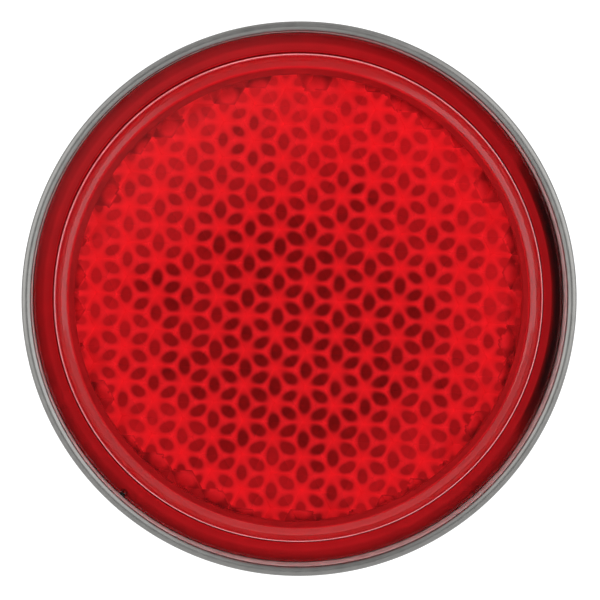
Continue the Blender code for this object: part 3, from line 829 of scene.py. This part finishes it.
# The cup's inner wall gets the pinkish metal of painted reflection.
rim.data.materials.append(WALL_METAL_PAINTED_REFLECTION)
inner_wall_painted_reflection = np.zeros(len(rim.data.polygons), int)
inner_wall_painted_reflection[(len(RIM_PROFILE) - 1) * AROUND:] = 1
rim.data.polygons.foreach_set("material_index", inner_wall_painted_reflection)
make_lens(RED, PRISM_RED, RIB_PAINTED_HIGHLIGHT)
ring_piece(
    "seal_ring",
    rounded(
        [[SEAL_RADIUS - SEAL_WIDTH, SEAL_FRONT], [SEAL_RADIUS, SEAL_FRONT],
         [SEAL_RADIUS, SEAL_BACK], [SEAL_RADIUS - SEAL_WIDTH, SEAL_BACK]], SEAL_ROUND,
    ),
    AROUND, SEALANT, "head", "seal_rubber", replaced=["lens_seal_ring"],
)
solid_piece(
    "backing",
    [[0, BACKING_FRONT], [LENS_RADIUS - EDGE_BREAK, BACKING_FRONT],
     [LENS_RADIUS, BACKING_FRONT + EDGE_BREAK], [LENS_RADIUS, BACKING_BACK], [0, BACKING_BACK]],
    AROUND, WHITE_PLASTIC, "head", "white_plastic", replaced=["backing_plate"],
)
ring_piece(
    "pad",
    rounded(
        [[PAD_INNER, PAD_FRONT], [PAD_RADIUS, PAD_FRONT],
         [PAD_RADIUS, PAD_BACK], [PAD_INNER, PAD_BACK]], PAD_ROUND,
    ),
    AROUND, PAD_RUBBER, "head", "pad_rubber", replaced=["rear_pad"],
)


def thread_height(y, turn):
    """Height of a right-hand thread, 0 in its root and 1 on its crest.

    The phase y / pitch + t / 2 pi, taken to the nearest whole turn, falls in
    a straight flank from crest to root, with about an eighth of a turn flat at
    each.
    """
    phase = np.mod(y / THREAD_PITCH + turn / TAU, 1.0)
    return np.clip((np.abs(2 * phase - 1) - THREAD_FLAT) / (1 - 2 * THREAD_FLAT), 0, 1)


def make_stud():
    """Round-headed stud, threaded by r = R - depth (1 - height) up to a bevelled tip."""
    turn = np.arange(AROUND_SMALL) / AROUND_SMALL * TAU
    tip = STUD_END
    shank = np.arange(THREAD_START, tip, THREAD_PITCH / THREAD_CUTS)
    y = np.append(shank, tip)[:, None]
    shown = np.clip((y - THREAD_START) / THREAD_PITCH, 0, 1)
    radius = STUD_RADIUS - THREAD_DEPTH * shown * (1 - thread_height(y, turn))
    radius = np.minimum(radius, STUD_RADIUS - np.clip(y - (tip - STUD_CHAMFER), 0, None))
    under = STUD_FRONT + STUD_HEAD_THICKNESS
    head = turned_points(
        [[STUD_HEAD_RADIUS / 2, STUD_FRONT], [STUD_HEAD_RADIUS, STUD_FRONT + STUD_HEAD_DOME],
         [STUD_HEAD_RADIUS, under], [STUD_RADIUS, under],
         [STUD_RADIUS, THREAD_START - THREAD_RUNOUT]],
        AROUND_SMALL,
    )
    grid = np.concatenate([head, polar_points(radius, y, turn)])
    plug_piece(
        "stud", grid, (0, STUD_FRONT, 0), (0, tip, 0), ZINC, "head", "zinc_steel",
        ["mount_stud"], sharp=28.0,
    )


def make_nut():
    """Hexagon whose corners are cut back by a cone, with a threaded bore.

    Across the corners r = (flats / 2) / cos(t); the cone falls 30 degrees from
    the inscribed circle; the bore is r = bore + groove * height of the thread.
    """
    turn = np.arange(NUT_STEPS) / NUT_STEPS * TAU
    flat = NUT_FLATS / 2
    face = flat * NUT_FACE
    side = flat / np.cos(np.mod(turn, TAU / 6) - TAU / 12)
    side = np.minimum(side, NUT_CORNER * NUT_TRIM)
    fall = (side - face) * np.tan(NUT_CONE)
    mouth = NUT_BORE + NUT_MOUTH
    cut = np.arange(NUT_BACK - NUT_MOUTH, NUT_FRONT + NUT_MOUTH, -THREAD_PITCH / THREAD_CUTS)
    cut = cut[:, None]
    rows = [
        (mouth, NUT_FRONT), (face, NUT_FRONT), (side, NUT_FRONT + fall),
        (side, NUT_BACK - fall), (face, NUT_BACK), (mouth, NUT_BACK),
    ]
    shell = np.stack([polar_points(radius, y, turn) for radius, y in rows])
    bore = polar_points(NUT_BORE + NUT_GROOVE * thread_height(cut, turn), cut, turn)
    loop_piece(
        "nut", np.concatenate([shell, bore]), ZINC, "nut", "zinc_steel", ["hex_nut"], sharp=28.0,
    )


def make_lock_washer():
    """Split spring washer: a rounded oblong carried once round a rising path.

    The path turns from one side of the slit to the other while y rises evenly
    by the washer's height less its thickness; a flat end closes each side.
    """
    share = np.linspace(0, 1, LOCK_STEPS)
    turn = TAU / 4 + LOCK_SLIT / 2 + share * (TAU - LOCK_SLIT)
    rise = (LOCK_BACK - LOCK_FRONT - LOCK_THICKNESS) * share
    section = np.array(rounded(
        [[LOCK_BORE, LOCK_FRONT], [LOCK_RADIUS, LOCK_FRONT],
         [LOCK_RADIUS, LOCK_FRONT + LOCK_THICKNESS], [LOCK_BORE, LOCK_FRONT + LOCK_THICKNESS]],
        LOCK_ROUND,
    ))
    grid = polar_points(section[None, :, 0], section[None, :, 1] + rise[:, None], turn[:, None])
    middle = grid.mean(axis=1)
    plug_piece(
        "lock_ring", grid, middle[0], middle[-1], ZINC, "washers", "zinc_steel",
        ["lock_washer"], sharp=40.0,
    )


def make_rivet(node):
    """Rivet with a domed head: r = head cos(t), y = seat + dome sin(t)."""
    low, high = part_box(node)
    centre = ((low.x + high.x) / 2, (low.z + high.z) / 2)
    seat = high.y - RIVET_DOME
    inner = low.y + RIVET_DOME
    t = np.radians(np.linspace(0, 84, 10))
    dome = np.stack([RIVET_HEAD * np.cos(t), seat + RIVET_DOME * np.sin(t)], axis=1).tolist()
    profile = [
        [0, low.y], [RIVET_HEAD - EDGE_BREAK, low.y], [RIVET_HEAD, low.y + EDGE_BREAK],
        [RIVET_HEAD, inner], [RIVET_RADIUS, inner], [RIVET_RADIUS, seat], [RIVET_HEAD, seat],
    ] + dome[1:] + [[0, high.y]]
    solid_piece(
        node.replace("plate_", ""), profile, RIVET_STEPS, ZINC, "head", "zinc_steel", [node],
        centre=centre,
    )


make_stud()
make_nut()
make_lock_washer()
ring_piece(
    "washer",
    rounded(
        [[WASHER_BORE, WASHER_FRONT], [WASHER_RADIUS, WASHER_FRONT],
         [WASHER_RADIUS, WASHER_BACK], [WASHER_BORE, WASHER_BACK]], WASHER_ROUND,
    ),
    AROUND_SMALL, ZINC, "washers", "zinc_steel", replaced=["flat_washer"],
)
for number in (1, 2, 3, 4):
    make_rivet(f"plate_rivet_{number}")
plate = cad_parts["stud_plate"].data
plate.materials.clear()
plate.materials.append(ZINC)


# ---- stage: floor, light and camera ------------------------------------------------------
VIEW_TURN = np.radians(-2.4)    # camera a little to the left of the lens's axis
VIEW_RISE = np.radians(3.5)     # and a little above it
VIEW_DISTANCE = 0.5
FRAME_HALF = 43.17 * MM         # half the picture's width at the rim
FLOOR_DROP = 0.16
TILT_LIGHT = [
    (0, 0.06), (5, 0.06), (7, 0.02), (18, 0.02), (24, 1.0), (82, 1.0), (98, 0.4),
    (108, 0.12), (125, 0.14), (180, 0.22),
]
HEADING_LIGHT = [
    (0, 0.6), (45, 0.55), (62, 0.12), (118, 0.12), (140, 0.5), (200, 0.55), (225, 1.0),
    (320, 1.0), (345, 0.6), (360, 0.6),
]
PANEL_STRENGTH = 6.4
BACKDROP_STRENGTH = 1.2
SENSOR_WIDTH = 36.0
FLOOR_HALF = 1.0

aim = Vector((
    np.sin(VIEW_TURN) * np.cos(VIEW_RISE),
    -np.cos(VIEW_TURN) * np.cos(VIEW_RISE),
    np.sin(VIEW_RISE),
))


def make_floor():
    """A plain pale floor below the head."""
    mesh = bpy.data.meshes.new("floor")
    low = -RIM_RADIUS - FLOOR_DROP
    corners = [
        (-FLOOR_HALF, -FLOOR_HALF, low), (FLOOR_HALF, -FLOOR_HALF, low),
        (FLOOR_HALF, FLOOR_HALF, low), (-FLOOR_HALF, FLOOR_HALF, low),
    ]
    mesh.from_pydata(corners, [], [(0, 1, 2, 3)])
    pale, _, shader = new_material("pale_floor")
    shader.inputs["Base Color"].default_value = (0.95, 0.95, 0.95, 1)
    shader.inputs["Roughness"].default_value = 0.9
    mesh.materials.append(pale)
    floor = bpy.data.objects.new("floor", mesh)
    bpy.context.scene.collection.objects.link(floor)


def make_world():
    """Soft light all round: large pale panels at the sides and below, dimmer
    above the camera, and a dark gap in the panels round the camera itself.

    With tilt the angle from the camera's direction and heading the angle
    about it, the strength is over_tilt(tilt) * (1 - blend) + blend *
    over_tilt(tilt) * over_heading(heading), blend falling away past 80 degrees.
    """
    world = bpy.data.worlds.new("studio")
    bpy.context.scene.world = world
    world.use_nodes = True
    tree = world.node_tree
    background = tree.nodes["Background"]
    background.inputs["Color"].default_value = (1, 1, 1, 1)

    def link(source, target):
        tree.links.new(source, target)

    def along(direction):
        dot = tree.nodes.new("ShaderNodeVectorMath")
        dot.operation = "DOT_PRODUCT"
        dot.inputs[1].default_value = direction
        link(place.outputs["Generated"], dot.inputs[0])
        return dot.outputs["Value"]

    def math(operation, *values):
        node = tree.nodes.new("ShaderNodeMath")
        node.operation = operation
        for socket, value in zip(node.inputs, values):
            if isinstance(value, (int, float)):
                socket.default_value = value
            else:
                link(value, socket)
        return node.outputs["Value"]

    def ramp(value, stops):
        node = tree.nodes.new("ShaderNodeValToRGB")
        set_ramp(node, [(position, (level, level, level, 1)) for position, level in stops])
        link(value, node.inputs["Fac"])
        return node.outputs["Color"]

    place = tree.nodes.new("ShaderNodeTexCoord")
    right = Vector((0, 0, 1)).cross(aim).normalized()
    up = aim.cross(right)
    tilt = math("DIVIDE", math("ARCCOSINE", along(aim)), float(np.pi))
    turn = math("ARCTAN2", along(up), along(right))
    heading = math("FRACT", math("DIVIDE", math("ADD", turn, float(TAU)), float(TAU)))
    over_tilt = ramp(tilt, [(angle / 180, level) for angle, level in TILT_LIGHT])
    over_heading = ramp(heading, [(angle / 360, level) for angle, level in HEADING_LIGHT])
    blend = ramp(tilt, [(0.0, 1.0), (80 / 180, 1.0), (100 / 180, 0.0), (1.0, 0.0)])
    shaped = math("MULTIPLY_ADD", math("SUBTRACT", over_heading, 1.0), blend, 1.0)
    strength = math("MULTIPLY", math("MULTIPLY", over_tilt, PANEL_STRENGTH), shaped)
    seen = tree.nodes.new("ShaderNodeLightPath")
    pick = tree.nodes.new("ShaderNodeMix")
    link(seen.outputs["Is Camera Ray"], pick.inputs["Factor"])
    link(strength, pick.inputs["A"])
    pick.inputs["B"].default_value = BACKDROP_STRENGTH
    link(pick.outputs["Result"], background.inputs["Strength"])


def make_camera():
    """Long lens from a little above and left of the head's axis."""
    data = bpy.data.cameras.new("camera")
    camera = bpy.data.objects.new("camera", data)
    bpy.context.scene.collection.objects.link(camera)
    target = Vector((0, RIM_FRONT + BEAD_RADIUS, 0))
    camera.location = target + aim * VIEW_DISTANCE
    camera.rotation_mode = "QUATERNION"
    camera.rotation_quaternion = (-aim).to_track_quat("-Z", "Y")
    data.sensor_width = SENSOR_WIDTH
    data.lens = data.sensor_width / 2 * VIEW_DISTANCE / FRAME_HALF
    data.clip_start = 0.01
    bpy.context.scene.camera = camera


make_floor()
make_world()
make_camera()
bpy.context.scene.view_settings.view_transform = "Standard"
